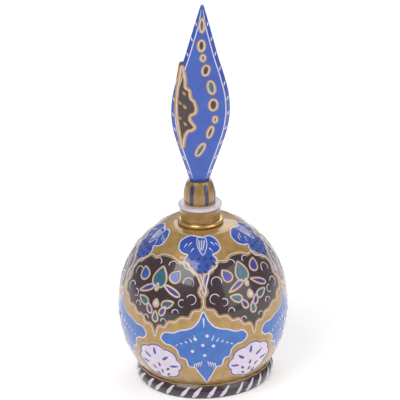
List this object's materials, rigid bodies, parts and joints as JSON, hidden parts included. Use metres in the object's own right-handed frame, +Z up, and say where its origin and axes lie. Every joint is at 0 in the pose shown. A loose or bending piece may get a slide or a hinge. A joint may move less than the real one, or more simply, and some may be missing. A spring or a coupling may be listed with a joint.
{
  "type": "kohl pot",
  "caption": "Small globe-shaped painted kohl pot on a low ring foot, with a gilded neck and a leaf-bladed stopper whose stick lifts out and turns.",
  "frame": {"origin": "centre of the foot's underside, where the pot rests", "axes": "+Z up along the turned axis to the leaf's tip; the leaf's painted face looks along -Y; the leaf's tip leans towards +X"},
  "size_m": [0.042, 0.042, 0.096],
  "materials": {
    "globe_paint": "blue, gold and maroon-black brush painting on turned bone under clear gloss lacquer",
    "shoulder_paint": "gold-painted bone under clear gloss lacquer",
    "foot_paint": "maroon-black with slanted white strokes on bone, gloss lacquer",
    "bare_bone": "polished bare bone, faintly lavender",
    "seat_brass": "polished thin brass ring",
    "neck_gilding": "gold-painted bone, hand-rubbed",
    "barrel_gilding": "gold-painted bone with navy stripes",
    "cork_lining": "plain cork",
    "leaf_paint": "blue and gold brush painting on bone under clear gloss lacquer"
  },
  "bodies": {
    "pot": {"globe_shell": "globe_paint", "shoulder_cap": "shoulder_paint", "foot_ring": "foot_paint", "base_disc": "bare_bone", "neck_seat_ring": "seat_brass", "neck_collar": "neck_gilding", "neck_rim_ring": "bare_bone"},
    "cork": {"cork_sleeve": "cork_lining"},
    "stopper": {"stopper_barrel": "barrel_gilding", "stopper_peg": "bare_bone", "kohl_stick": "bare_bone", "finial_blade": "leaf_paint"}
  },
  "joints": [
    {"name": "stopper_lift", "type": "slide", "parent": "pot", "child": "cork", "axis": [0, 0, 1], "range_m": [0, 0.045]},
    {"name": "stopper_twist", "type": "hinge", "parent": "cork", "child": "stopper", "pos_m": [0, 0, 0.04], "axis": [0, 0, 1], "continuous": true}
  ]
}
